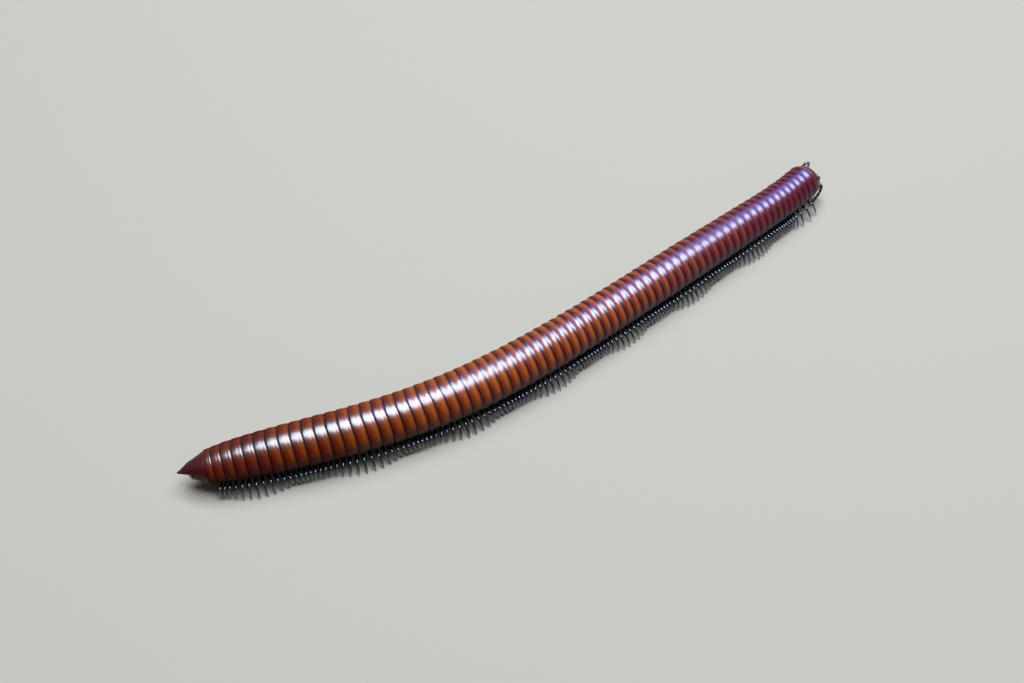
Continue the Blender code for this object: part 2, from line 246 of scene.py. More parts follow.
# Colours of a ring from its rear edge forwards, by station; the last stop is the fold, dark skin with
# painted shade
RING_STOPS = (0.00, 0.06, 0.30, 0.52, 0.66, 0.84, 0.92, 0.98)
RING_COLOURS = {
    4.0: ("#1C0406", "#380A0C", "#420D0E", "#480F10", "#501410", "#4C120F", "#34090A", "#1C0406"),
    30.0: ("#1C0803", "#3C0F06", "#521708", "#5E1F09", "#6C2C0C", "#6A2A0C", "#461607", "#1C0803"),
    80.0: ("#2E0E06", "#4A170A", "#6C280E", "#82380F", "#964913", "#8C3E16", "#5E240C", "#2E0E06"),
    120.0: ("#2E0E07", "#4A170C", "#662710", "#803814", "#984B1C", "#8A401F", "#56200E", "#2E0E07"),
    165.0: ("#260A08", "#42110E", "#541912", "#682518", "#7C321C", "#6C2A1A", "#481612", "#260A08"),
    190.0: ("#200810", "#461118", "#50131A", "#58181A", "#621E1E", "#5A1A1E", "#441216", "#200810"),
}
# Painted shade: the colour that the lower sides are darkened to
PAINTED_BELLY_SHADE = "#2A140C"
DUST = "#B99C7C"
# Sheen, a violet sheen painted into the colour, and wax, by station
SHEEN_COLOURS = {4.0: "#FF6088", 30.0: "#FFB8CC", 95.0: "#F0A8E0", 150.0: "#9A88FF", 190.0: "#8478FF"}
SHEEN_LEVELS = {4.0: 0.14, 14.0: 0.0, 30.0: 0.0, 80.0: 0.10, 120.0: 0.20, 150.0: 0.28, 190.0: 0.30}
PAINTED_SHEEN_LEVELS = {30.0: 0.0, 80.0: 0.12, 120.0: 0.22, 150.0: 0.34, 190.0: 0.42}
PAINTED_SHEEN_COLOUR = "#6C5AA0"
WAX_IOR = {18.0: 1.80, 54.0: 1.80, 78.0: 1.74, 120.0: 1.72, 160.0: 1.70, 186.0: 1.66, 200.0: 1.64}
# Where the painted sheen, the wax and the painted shade each begin and end between the back (0) and the
# belly (1)
PAINTED_SHEEN_REACH = (0.14, 0.03)
WAX_REACH = (0.09, 0.24)
PAINTED_SHADE_REACH = (0.28, 0.62)
WORN_WAX = 0.05  # what is left of the wax low on the sides

# Camera: the photograph's place and lens
CAMERA_PLACE = (-93.13, -158.89, 352.58)
CAMERA_AZIMUTH = 28.627
CAMERA_ELEVATION = 62.0
LENS = 50.0
SENSOR = 36.0


def colour(code):
    """Linear red, green and blue of an sRGB hex code, with full alpha."""
    channels = np.array([int(code[place : place + 2], 16) for place in (1, 3, 5)]) / 255.0
    linear = np.where(channels < 0.04045, channels / 12.92, ((channels + 0.055) / 1.055) ** 2.4)
    return (*linear.tolist(), 1.0)


def smooth(x):
    """Smooth step 3x^2 - 2x^3 from 0 to 1 as x goes from 0 to 1."""
    x = np.clip(x, 0.0, 1.0)
    return x * x * (3.0 - 2.0 * x)


def after(place, start, length):
    """Smooth step from 0 to 1 over a length that starts at a place."""
    return smooth((place - start) / length)


def hump(x, width):
    """Bell exp(-(x / width)^2)."""
    return np.exp(-((x / width) ** 2))


def turn(station, degrees, middle, half_length):
    """A smooth turn of so many degrees, centred on a station."""
    return degrees * 0.5 * (1.0 + np.tanh((station - middle) / half_length))


def body_line():
    """Stations, directions and points of the body line: the direction added up step by step."""
    station = np.arange(-OVERRUN, LENGTH + OVERRUN, LINE_STEP)
    angle = np.radians(DIRECTION_AT_TAIL + turn(station, *LONG_BEND) + turn(station, *HEAD_TURN))
    middle = (angle[1:] + angle[:-1]) / 2.0
    x = np.concatenate([[0.0], np.cumsum(np.cos(middle) * LINE_STEP)])
    y = np.concatenate([[0.0], np.cumsum(np.sin(middle) * LINE_STEP)])
    x -= np.interp(0.0, station, x) + MIDDLE[0]
    y -= np.interp(0.0, station, y) + MIDDLE[1]
    return station, angle, x, y


LINE = body_line()


def radius(station):
    """Half the trunk's thickness: a tail taper less the losses at shoulder and neck."""
    thickness = THICKEST * (1.0 - np.exp(-(station + TAIL_TAPER[0]) / TAIL_TAPER[1]))
    thickness = thickness - turn(station, *SHOULDER_LOSS)
    thickness = thickness - NECK_LOSS[0] * after(station, NECK_LOSS[1], NECK_LOSS[2])
    return thickness / 2.0


def axis_height(station):
    """Height of the trunk's middle, which sinks a little where the trunk is thinner."""
    full = THICKEST / 2.0
    return BELLY_CLEARANCE + LEVEL_SHARE * full + (1.0 - LEVEL_SHARE) * radius(station)


def to_world(points):
    """Carries (station, left, height) in millimetres along the body line into metres."""
    station, left, height = points[..., 0], points[..., 1], points[..., 2]
    line_station, line_angle, line_x, line_y = LINE
    angle = np.interp(station, line_station, line_angle)
    x = np.interp(station, line_station, line_x) - left * np.sin(angle)
    y = np.interp(station, line_station, line_y) + left * np.cos(angle)
    return np.stack([x, y, height], axis=-1) / 1000.0


def head_to_world(points):
    """Carries (forward of the collar plate, left, up from the trunk's middle) into metres."""
    return to_world(points + np.array([COLLUM_END, 0.0, axis_height(COLLUM_END)]))


def ring_stations():
    """Stations of the rings' rear edges: pitches that shrink towards the head, added up."""
    ring = np.arange(RING_COUNT)
    pitch = REAR_PITCH - (REAR_PITCH - MIDDLE_PITCH) * after(ring, *TO_MIDDLE_PITCH)
    pitch = pitch - (MIDDLE_PITCH - NECK_PITCH) * after(ring, *TO_NECK_PITCH)
    pitch = pitch * (1.0 - LAST_RING_SQUEEZE[0] * np.exp(-ring / LAST_RING_SQUEEZE[1]))
    edges = np.concatenate([[0.0], np.cumsum(pitch)])
    return RINGS_FROM + (RINGS_TO - RINGS_FROM) * edges / edges[-1]


RINGS = ring_stations()


def through(points, count):
    """Catmull-Rom curve: cubics through the points, each slope half the step between neighbours."""
    points = np.asarray(points, dtype=float)
    start, end = 2.0 * points[:1] - points[1:2], 2.0 * points[-1:] - points[-2:-1]
    padded = np.concatenate([start, points, end])
    place = np.linspace(0.0, len(points) - 1.0, count)
    stretch = np.minimum(place.astype(int), len(points) - 2)
    t = (place - stretch).reshape([count] + [1] * (points.ndim - 1))
    a, b, c, d = (padded[stretch + step] for step in range(4))
    bend = (2.0 * a - 5.0 * b + 4.0 * c - d) * t**2 + (-a + 3.0 * b - 3.0 * c + d) * t**3
    return 0.5 * (2.0 * b + (c - a) * t + bend)


def unit(vectors):
    """The vectors at length one."""
    return vectors / np.maximum(np.linalg.norm(vectors, axis=-1, keepdims=True), 1e-12)


def mirrored(point, side):
    """A point of the left side, or its mirror image on the right."""
    return np.array([point[0], side * point[1], point[2]])


def add_node(tree, kind, inputs=(), **settings):
    """Adds a shader node with its settings, and with each input set to a value or linked to a socket."""
    made = tree.nodes.new(kind)
    for name, value in settings.items():
        setattr(made, name, value)
    for socket, value in dict(inputs).items():
        if isinstance(value, bpy.types.NodeSocket):
            tree.links.new(value, made.inputs[socket])
        else:
            made.inputs[socket].default_value = value
    return made


def new_material(name, settings):
    """An empty Principled material with constant values on the shader's own sockets."""
    shade = bpy.data.materials.new(name)
    shade.use_nodes = True
    shader = shade.node_tree.nodes["Principled BSDF"]
    for socket, value in settings.items():
        shader.inputs[socket].default_value = value
    return shade, shade.node_tree, shader


def colour_stops(node, places, colours):
    """Sets a colour ramp's stops to linear colours."""
    elements = node.color_ramp.elements
    while len(elements) < len(places):
        elements.new(0.5)
    for element, place, value in zip(elements, places, colours):
        element.position = place
        element.color = value


def at_station(table, station):
    """Colours between those of a table by station, mixed as linear light."""
    stations = sorted(table)
    known = np.array([[colour(code) for code in np.atleast_1d(table[key])] for key in stations])
    flat = known.reshape(len(stations), -1)
    mixed = [np.interp(station, stations, column) for column in flat.T]
    return np.array(mixed).reshape(known.shape[1:]).tolist()


def level_at(table, station):
    """Levels between those of a table by station."""
    return np.interp(station, list(table), list(table.values()))


def ring_cuticle(name, station):
    """Lime-hardened cuticle under a clear wax layer: deep red-brown, with a white gloss in a lilac sheen.

    The raised rear band is maroon, the front sleeve amber-brown, and the fold between rings dark:
    dark skin with painted shade. A violet sheen is painted into the colour along the back, and
    painted shade darkens the lower sides.
    """
    shade, tree, shader = new_material(
        name,
        {
            "Roughness": 0.46,
            "IOR": 1.56,
            "Specular IOR Level": level_at(SHEEN_LEVELS, station),
            "Specular Tint": at_station(SHEEN_COLOURS, station)[0],
            "Coat Roughness": 0.28,
            "Coat IOR": level_at(WAX_IOR, station),
        },
    )
    share = add_node(tree, "ShaderNodeAttribute", attribute_name="share").outputs["Fac"]
    down = add_node(tree, "ShaderNodeAttribute", attribute_name="down").outputs["Fac"]
    tone = add_node(tree, "ShaderNodeAttribute", attribute_name="tone").outputs["Fac"]
    place = add_node(tree, "ShaderNodeTexCoord").outputs["Object"]
    cloud = add_node(tree, "ShaderNodeTexNoise", {"Vector": place, "Scale": 420.0, "Detail": 5.0})
    shift = add_node(
        tree, "ShaderNodeMath", {0: cloud.outputs["Fac"], 1: 0.10, 2: share}, operation="MULTIPLY_ADD"
    )
    centred = add_node(tree, "ShaderNodeMath", {0: shift.outputs[0], 1: 0.05}, operation="SUBTRACT")
    bands = add_node(tree, "ShaderNodeValToRGB", {"Fac": centred.outputs[0]})
    colour_stops(bands, RING_STOPS, at_station(RING_COLOURS, station))
    # From the back down towards the belly: where the painted shade and the scratches lie
    to_belly = add_node(
        tree,
        "ShaderNodeMapRange",
        {"Value": down, "From Min": PAINTED_SHADE_REACH[0], "From Max": PAINTED_SHADE_REACH[1]},
        interpolation_type="SMOOTHSTEP",
    )
    # Painted sheen: a violet sheen painted into the colour along the back, which grows towards the head
    painted_sheen_mask = add_node(
        tree,
        "ShaderNodeMapRange",
        {
            "Value": down,
            "From Min": PAINTED_SHEEN_REACH[0],
            "From Max": PAINTED_SHEEN_REACH[1],
            "To Max": level_at(PAINTED_SHEEN_LEVELS, station),
        },
        interpolation_type="SMOOTHSTEP",
    )
    with_painted_sheen = add_node(
        tree,
        "ShaderNodeMix",
        {"Factor": painted_sheen_mask.outputs["Result"], 6: bands.outputs["Color"], 7: colour(PAINTED_SHEEN_COLOUR)},
        data_type="RGBA",
    )
    # Painted shade: the colour darkens down the sides towards the belly
    sides = add_node(
        tree,
        "ShaderNodeMix",
        {"Factor": to_belly.outputs["Result"], 6: with_painted_sheen.outputs[2], 7: colour(PAINTED_BELLY_SHADE)},
        data_type="RGBA",
    )
    # The wax wears thin down the sides
    wax = add_node(
        tree,
        "ShaderNodeMapRange",
        {
            "Value": down,
            "From Min": WAX_REACH[0],
            "From Max": WAX_REACH[1],
            "To Min": 1.0,
            "To Max": WORN_WAX,
        },
        interpolation_type="SMOOTHSTEP",
    )
    tree.links.new(wax.outputs["Result"], shader.inputs["Coat Weight"])
    # A stink pore on each flank of a ring is a dark dot 0.2 mm across
    spot = add_node(tree, "ShaderNodeCombineXYZ", {"X": share, "Y": down})
    stretched = add_node(
        tree, "ShaderNodeVectorMath", {0: spot.outputs[0], 1: (2.7, 20.0, 0.0)}, operation="MULTIPLY"
    )
    away = add_node(
        tree, "ShaderNodeVectorMath", {0: stretched.outputs[0], 1: (1.78, 8.1, 0.0)}, operation="DISTANCE"
    )
    pore = add_node(
        tree, "ShaderNodeMapRange", {"Value": away.outputs["Value"], "From Min": 0.08, "From Max": 0.14}
    )
    # Dust: a pale speck up to 0.3 mm across in one cell of 4 mm out of five
    cells = add_node(tree, "ShaderNodeTexVoronoi", {"Vector": place, "Scale": 250.0})
    chance = add_node(tree, "ShaderNodeSeparateColor", {"Color": cells.outputs["Color"]})
    size = add_node(
        tree, "ShaderNodeMapRange", {"Value": chance.outputs[0], "From Min": 0.80, "To Max": 0.05}
    )
    speck = add_node(
        tree,
        "ShaderNodeMath",
        {0: cells.outputs["Distance"], 1: size.outputs["Result"]},
        operation="LESS_THAN",
    )
    dusty = add_node(
        tree,
        "ShaderNodeMix",
        {"Factor": speck.outputs[0], 6: sides.outputs[2], 7: colour(DUST)},
        data_type="RGBA",
    )
    lit = add_node(tree, "ShaderNodeMath", {0: pore.outputs["Result"], 1: tone}, operation="MULTIPLY")
    whole = add_node(
        tree, "ShaderNodeVectorMath", {0: dusty.outputs[2], "Scale": lit.outputs[0]}, operation="SCALE"
    )
    tree.links.new(whole.outputs[0], shader.inputs["Base Color"])
    # Grain about 0.12 mm across, and lengthwise scratches 0.4 mm apart low on the flanks
    grain = add_node(tree, "ShaderNodeTexNoise", {"Vector": place, "Scale": 8000.0, "Detail": 2.0})
    waves = add_node(tree, "ShaderNodeMath", {0: down, 1: 300.0}, operation="MULTIPLY")
    scratch = add_node(tree, "ShaderNodeMath", {0: waves.outputs[0]}, operation="SINE")
    low = add_node(
        tree, "ShaderNodeMath", {0: scratch.outputs[0], 1: to_belly.outputs["Result"]}, operation="MULTIPLY"
    )
    relief = add_node(
        tree,
        "ShaderNodeMath",
        {0: low.outputs[0], 1: 1.5, 2: grain.outputs["Fac"]},
        operation="MULTIPLY_ADD",
    )
    bump = add_node(
        tree, "ShaderNodeBump", {"Height": relief.outputs[0], "Strength": 0.015, "Distance": 0.0001}
    )
    tree.links.new(bump.outputs["Normal"], shader.inputs["Normal"])
    return shade


def plain_cuticle(name, codes, scale, settings):
    """Polished cuticle: a cloud of its colours over a fine grain."""
    shade, tree, shader = new_material(name, settings)
    place = add_node(tree, "ShaderNodeTexCoord").outputs["Object"]
    cloud = add_node(tree, "ShaderNodeTexNoise", {"Vector": place, "Scale": scale, "Detail": 4.0})
    tint = add_node(tree, "ShaderNodeValToRGB", {"Fac": cloud.outputs["Fac"]})
    places = np.linspace(0.35, 0.68, len(codes)).tolist()
    colour_stops(tint, places, [colour(code) for code in codes])
    tree.links.new(tint.outputs["Color"], shader.inputs["Base Color"])
    grain = add_node(tree, "ShaderNodeTexNoise", {"Vector": place, "Scale": 9000.0, "Detail": 2.0})
    bump = add_node(
        tree, "ShaderNodeBump", {"Height": grain.outputs["Fac"], "Strength": 0.08, "Distance": 0.0001}
    )
    tree.links.new(bump.outputs["Normal"], shader.inputs["Normal"])
    return shade


def tube_faces(tubes, rows, sides, first):
    """Corners of the quads along closed tubes and of the fans that close their ends.

    The tubes' points come first, then the middles of their first rows, then those of their last.
    """
    index = first + np.arange(tubes * rows * sides).reshape(tubes, rows, sides)
    beside = np.roll(index, -1, axis=2)
    quads = np.stack([index[:, :-1], beside[:, :-1], beside[:, 1:], index[:, 1:]], axis=-1).reshape(-1, 4)
    middles = first + tubes * rows * sides + np.arange(tubes)[:, None] + np.zeros((1, sides), dtype=int)
    near = np.stack([beside[:, 0], index[:, 0], middles], axis=-1).reshape(-1, 3)
    far = np.stack([index[:, -1], beside[:, -1], middles + tubes], axis=-1).reshape(-1, 3)
    return quads, np.concatenate([near, far])


def with_middles(grid):
    """A grid of tubes as one list of values, with the middles of the end rows after it."""
    tail = grid.shape[3:]
    ends = np.concatenate([grid[:, 0].mean(axis=1), grid[:, -1].mean(axis=1)])
    return np.concatenate([grid.reshape(-1, *tail), ends])


def piece(name, grids, shade, nodes, attributes=()):
    """A piece of closed tubes, from grids of points (tubes, rows, sides, 3) in metres.

    Each four neighbours on a grid make a face, and a fan closes each end of each tube.
    """
    points = np.concatenate([with_middles(grid) for grid in grids])
    quads, fans, first = [], [], 0
    for grid in grids:
        made = tube_faces(*grid.shape[:3], first)
        quads.append(made[0])
        fans.append(made[1])
        first += len(with_middles(grid))
    quads, fans = np.concatenate(quads), np.concatenate(fans)
    corners = np.concatenate([quads.ravel(), fans.ravel()])
    starts = np.concatenate([np.arange(len(quads)) * 4, len(quads) * 4 + np.arange(len(fans)) * 3])
    mesh = bpy.data.meshes.new(name)
    mesh.vertices.add(len(points))
    mesh.vertices.foreach_set("co", points.ravel().astype(np.float32))
    mesh.loops.add(len(corners))
    mesh.loops.foreach_set("vertex_index", corners.astype(np.int32))
    mesh.polygons.add(len(starts))
    mesh.polygons.foreach_set("loop_start", starts.astype(np.int32))
    mesh.update(calc_edges=True)
    mesh.validate()
    for label, values in dict(attributes).items():
        layer = mesh.attributes.new(label, "FLOAT", "POINT")
        layer.data.foreach_set("value", with_middles(values).astype(np.float32))
    outwards = bmesh.new()
    outwards.from_mesh(mesh)
    bmesh.ops.recalc_face_normals(outwards, faces=outwards.faces)
    outwards.to_mesh(mesh)
    outwards.free()
    mesh.shade_smooth()
    mesh.materials.append(shade)
    made = bpy.data.objects.new(name, mesh)
    bpy.context.scene.collection.objects.link(made)
    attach(made, BODY)
    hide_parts(*nodes)
    return made


def round_angles(count):
    """Angles round a section, from the animal's left over the top."""
    return 2.0 * np.pi * np.arange(count) / count


def from_belly(angle):
    """How far an angle is from straight down, from 0 to pi."""
    return np.abs((angle + np.pi / 2.0 + np.pi) % (2.0 * np.pi) - np.pi)


def trunk_skin(name, node, first, last, rings, shade):
    """The rings of one trunk length: the ring profile carried forwards ring by ring, turned round
    the trunk's middle; radius = trunk radius - groove depth + crest - furrow along the belly, where
    the crest is a height times sin^2(pi (share - crest share + 1/2))."""
    count = last - first + 1
    profile = through(RING_PROFILE, PROFILE_ROWS)
    start = RINGS[first : last + 1, None]
    pitch = RINGS[first + 1 : last + 2, None] - start
    station = (start + profile[None, :, 0] * pitch).ravel()
    share = np.tile(np.clip(profile[:, 0], 0.0, 1.0), count)
    size = radius(station) / (THICKEST / 2.0)
    crest = level_at(CREST_HEIGHTS, station) * np.sin(np.pi * (share - CREST_SHARE + 0.5)) ** 2
    crest = crest + np.repeat(RING_UNEVEN * rings[first : last + 1, 0], PROFILE_ROWS)
    angle = round_angles(ROUND_STEPS)
    back = hump(np.pi - from_belly(angle), BACK_WIDTH)
    loss = GROOVE_LOSS[0] + (GROOVE_LOSS[1] - GROOVE_LOSS[0]) * back
    groove = (np.tile(profile[:, 1], count) * size)[:, None]
    groove = groove * (1.0 - after(station, *GROOVE_FADE)[:, None] * loss)
    furrow = BELLY_FURROW[0] * hump(from_belly(angle), BELLY_FURROW[1])
    reach = (radius(station) + crest)[:, None] - groove - furrow
    shift = level_at(BACK_SHIFT, station) * np.repeat(pitch.ravel(), PROFILE_ROWS)
    stations = station[:, None] + shift[:, None] * back
    heights = axis_height(station)[:, None] + reach * np.sin(angle)
    points = np.stack([stations, reach * np.cos(angle), heights], axis=-1)
    down = 1.0 - from_belly(angle) / np.pi
    tone = np.repeat(1.0 + 0.08 * rings[first : last + 1, 1], PROFILE_ROWS)
    attributes = {
        "share": np.broadcast_to(share[:, None], reach.shape)[None],
        "down": np.broadcast_to(down[None, :], reach.shape)[None],
        "tone": np.broadcast_to(tone[:, None], reach.shape)[None],
    }
    return piece(name, [to_world(points)[None]], shade, [node], attributes)


def leg_rows(first, last, draw):
    """(ring, share of the ring, side, unevenness) of every leg of a trunk length, in arrays."""
    rows = []
    for ring in range(max(first, LEGLESS_TAIL_RINGS), last + 1):
        for share in SINGLE_PAIR if ring >= RING_COUNT - SINGLE_PAIR_RINGS else PAIRS:
            for side in (1, -1):
                rows.append((ring, share, side, *draw.uniform(-UNEVEN, UNEVEN, 2)))
    return np.array(rows)


def leg_set(name, node, rows, shade):
    """The legs of one trunk length: the joint profile carried along a curve from root over hip and
    knee to the claw, whose foot swings by cos(phase), lifts near sin(phase) = 1 and stretches
    outwards by -sin(phase)."""
    ring, share, side = rows[:, 0], rows[:, 1], rows[:, 2]
    index = ring.astype(int)
    pitch = RINGS[index + 1] - RINGS[index]
    station = RINGS[index] + share * pitch
    thick = radius(station)
    belly = axis_height(station) - thick
    reach = FOOT_REACH[0] + FOOT_REACH[1] * thick + rows[:, 4]
    phase = 2.0 * np.pi * (ring + share - WAVE_START) / WAVE_RINGS
    swing = SWING * pitch * np.cos(phase) + rows[:, 3]
    lift = LIFT * np.maximum(0.0, np.sin(phase) - LIFT_FROM) / (1.0 - LIFT_FROM)
    foot = reach + STRETCH * np.maximum(0.0, -np.sin(phase))
    hip, knee = HIP[0] * thick, KNEE[0] * reach
    hip_height, knee_height = belly + HIP[1], belly + KNEE[1] + KNEE_LIFT * lift
    thigh_height = (hip_height + knee_height) / 2.0 + THIGH_ARCH
    path = [
        (station, side * ROOT[0], belly + ROOT[1]),
        (station, side * hip, hip_height),
        (station + KNEE_SWING / 2.0 * swing, side * (hip + knee) / 2.0, thigh_height),
        (station + KNEE_SWING * swing, side * knee, knee_height),
        (
            station + (KNEE_SWING + 1.0) / 2.0 * swing,
            side * ((knee + foot) / 2.0 + SHIN_BOW),
            (knee_height + lift) / 2.0,
        ),
        (station + swing, side * foot, lift + CLAW_HEIGHT),
    ]
    path = np.stack([np.stack(np.broadcast_arrays(*point), axis=-1) for point in path])
    fine = through(path, 41)
    joints = np.array(LEG_JOINTS)
    at = joints[:, 0] * (len(fine) - 1)
    low = np.minimum(at.astype(int), len(fine) - 2)
    part = (at - low)[:, None, None]
    centre = fine[low] * (1.0 - part) + fine[low + 1] * part
    along = unit(np.gradient(fine, axis=0)[low])
    across = unit(np.cross(along, np.array([0.0, 0.0, 1.0])))
    third = np.cross(along, across)
    angle = round_angles(LEG_SIDES)[:, None]
    scale = np.clip(pitch / MIDDLE_PITCH, *LEG_SCALE)
    width = (joints[:, 1][:, None] * scale[None, :])[:, :, None, None]
    section = np.cos(angle) * across[:, :, None] + np.sin(angle) * third[:, :, None]
    grids = np.moveaxis(centre[:, :, None] + width * section, 0, 1)
    return piece(name, [to_world(grids)], shade, [node])


def trunk(shades):
    """The trunk in lengths numbered from the head, each a skin of rings and a set of legs."""
    ends = np.round(np.linspace(0, RING_COUNT, TRUNK_LENGTHS + 1)).astype(int)
    draw = np.random.default_rng(SEED)
    rings = np.random.default_rng(SEED + 1).uniform(-1.0, 1.0, (RING_COUNT, 2))
    for place in range(TRUNK_LENGTHS):
        first, last = int(ends[place]), int(ends[place + 1]) - 1
        label = f"{TRUNK_LENGTHS - place:02d}"
        middle = (RINGS[first] + RINGS[last + 1]) / 2.0
        shade = ring_cuticle(f"lime_hardened_cuticle_{label}", middle)
        trunk_skin(f"rings_{label}", f"trunk_{label}", first, last, rings, shade)
        leg_set(f"legs_{label}", f"trunk_{label}", leg_rows(first, last, draw), shades["legs"])


def loft(rows, row_count, sides):
    """Ovals carried through rows of (forward, half width, top, bottom), smoothed between the rows."""
    rows = through(rows, row_count)
    angle = round_angles(sides)
    middle = (rows[:, 2] + rows[:, 3]) / 2.0
    half = (rows[:, 2] - rows[:, 3]) / 2.0
    forward = np.broadcast_to(rows[:, :1], (row_count, sides))
    left = rows[:, 1:2] * np.cos(angle)
    up = middle[:, None] + half[:, None] * np.sin(angle)
    return np.stack([forward, left, up], axis=-1)


def outward(grid, middle):
    """Unit normals of a grid of points (rows, sides, 3), turned away from a middle point."""
    along = np.gradient(grid, axis=0)
    around = np.roll(grid, -1, axis=1) - np.roll(grid, 1, axis=1)
    normal = unit(np.cross(along, around))
    sign = np.sign(np.sum(normal * (grid - np.asarray(middle)), axis=-1, keepdims=True))
    return normal * np.where(sign == 0.0, 1.0, sign)


def ellipsoid(centre, half, row_count, sides, axes=((1, 0, 0), (0, 1, 0), (0, 0, 1))):
    """An ellipsoid from pole to pole along its first axis: sine of latitude times a circle."""
    latitude = np.linspace(0.04, np.pi - 0.04, row_count)[:, None]
    angle = round_angles(sides)[None]
    first = -np.cos(latitude) + 0.0 * angle
    ball = np.stack([first, np.sin(latitude) * np.cos(angle), np.sin(latitude) * np.sin(angle)], axis=-1)
    return ball * np.asarray(half) @ np.asarray(axes, dtype=float) + np.asarray(centre)


def collum(shades):
    """The first plate: its profile turned round the trunk's middle, with a rim along its front edge
    and three furrows low on each side."""
    start, end = RINGS_TO + GAP / 2.0, COLLUM_END - GAP / 2.0
    profile = through(COLLUM_PROFILE, 43)
    station = start + profile[:, 0] * (end - start)
    angle = round_angles(ROUND_STEPS)
    side = hump(from_belly(angle) - math.radians(75.0), 0.45)
    furrows = sum(hump(profile[:, 0] - share, 0.035) for share in COLLUM_FURROWS)
    reach = (radius(station) - profile[:, 1])[:, None] - 0.07 * furrows[:, None] * side[None]
    up = reach * np.sin(angle)
    up = up * np.where(up < 0.0, COLLUM_BELLY, 1.0) + axis_height(RINGS_TO)
    stations = np.broadcast_to(station[:, None], reach.shape)
    points = np.stack([stations, reach * np.cos(angle), up], axis=-1)
    share = np.clip(profile[:, 0], 0.0, 1.0) * 0.5 + 0.12
    attributes = {
        "share": np.broadcast_to(share[:, None], reach.shape)[None],
        "down": np.broadcast_to(1.0 - from_belly(angle) / np.pi, reach.shape)[None],
        "tone": np.ones(reach.shape)[None],
    }
    shade = shades["collum"]
    return piece("collar_plate", [to_world(points)[None]], shade, ["collum"], attributes)


def head_capsule(shades):
    """The head capsule: the head's rows lofted, with grooves and rims added along its normals.

    Added are the seam down the middle, the bowl and rim round each feeler's root, the edge round
    each eye patch and a row of pits over the lip.
    """
    grid = loft(HEAD_ROWS, 90, 160)
    normal = outward(grid, (0.5, 0.0, -0.5))
    forward, left, up = grid[..., 0], grid[..., 1], grid[..., 2]
    relief = -0.07 * hump(left, 0.07) * smooth((up - 0.3) / 0.6)
    relief = relief - 0.10 * hump(up + 1.6, 0.9) * hump(np.abs(left) - 1.5, 0.7) * smooth(forward - 1.0)
    for path in ANTENNA_PATHS.values():
        away = np.linalg.norm(grid - np.array(path[0]), axis=-1)
        relief = relief + 0.13 * hump(away - SOCKET_RADIUS - 0.35, 0.14) - 0.25 * hump(away, 0.55)
    for side in (1, -1):
        away = np.linalg.norm((grid - mirrored(EYE_CENTRE, side)) / np.array([0.95, 0.9, 0.9]), axis=-1)
        relief = relief + 0.05 * hump(away - 1.0, 0.12)
        for pit in (0.45, 1.15, 1.85):
            spot = np.hypot(left - side * pit, up + 3.35 - 0.12 * pit)
            relief = relief - 0.09 * hump(spot, 0.11) * smooth((forward - 1.5) / 0.3)
    points = grid + normal * relief[..., None]
    piece("head_capsule", [head_to_world(points)[None]], shades["head"], ["head"])


def head_parts(shades):
    """Cheeks, lip with three teeth and chin plate: ellipsoids and a loft with seams pressed in."""
    for side, label in ((1, "left"), (-1, "right")):
        cheek = ellipsoid(mirrored(CHEEK[0], side), CHEEK[1], 40, 64)
        normal = outward(cheek, mirrored(CHEEK[0], side))
        seam = -0.08 * hump(cheek[..., 2] + 2.0 + 0.35 * (cheek[..., 0] - 1.7), 0.08)
        seam = seam - 0.06 * hump(cheek[..., 0] - 2.55, 0.07) * smooth((-1.9 - cheek[..., 2]) / 0.3)
        cheek = cheek + normal * seam[..., None]
        made = [head_to_world(cheek)[None]]
        piece(f"cheek_{label}", made, shades["head"], ["head"])
    lips = []
    for side in (1, -1):
        lip = ellipsoid(mirrored(LIP[0], side), LIP[1], 26, 48)
        normal = outward(lip, mirrored(LIP[0], side))
        rim = 0.05 * hump(lip[..., 2] + 4.62, 0.10)
        lips.append(head_to_world(lip + normal * rim[..., None]))
    teeth = np.stack([ellipsoid((2.92, left, -4.50), LIP_TOOTH, 8, 10) for left in (-0.27, 0.0, 0.27)])
    piece("lip", [np.stack(lips), head_to_world(teeth)], shades["head"], ["head"])
    chin = loft(CHIN_ROWS, 44, 96)
    normal = outward(chin, (1.1, 0.0, -4.6))
    forward, left = chin[..., 0], chin[..., 1]
    below = smooth((-4.7 - chin[..., 2]) / 0.2)
    seams = hump(np.abs(left) - 0.55 - 0.5 * np.abs(forward - 1.1), 0.06)
    seams = seams + hump(left, 0.05) * smooth(forward - 0.7)
    seams = seams + hump(forward - 0.62, 0.06) * hump(left, 0.8)
    chin = chin - normal * (0.09 * seams * below)[..., None]
    piece("chin_plate", [head_to_world(chin)[None]], shades["head"], ["head"])


def eye_axes(side):
    """Directions along the head, up its side and outwards at an eye."""
    outwards = unit(mirrored(EYE_OUTWARDS, side))
    along = unit(np.array([1.0, 0.0, 0.0]) - outwards * outwards[0])
    return np.array([along, np.cross(outwards, along), outwards])


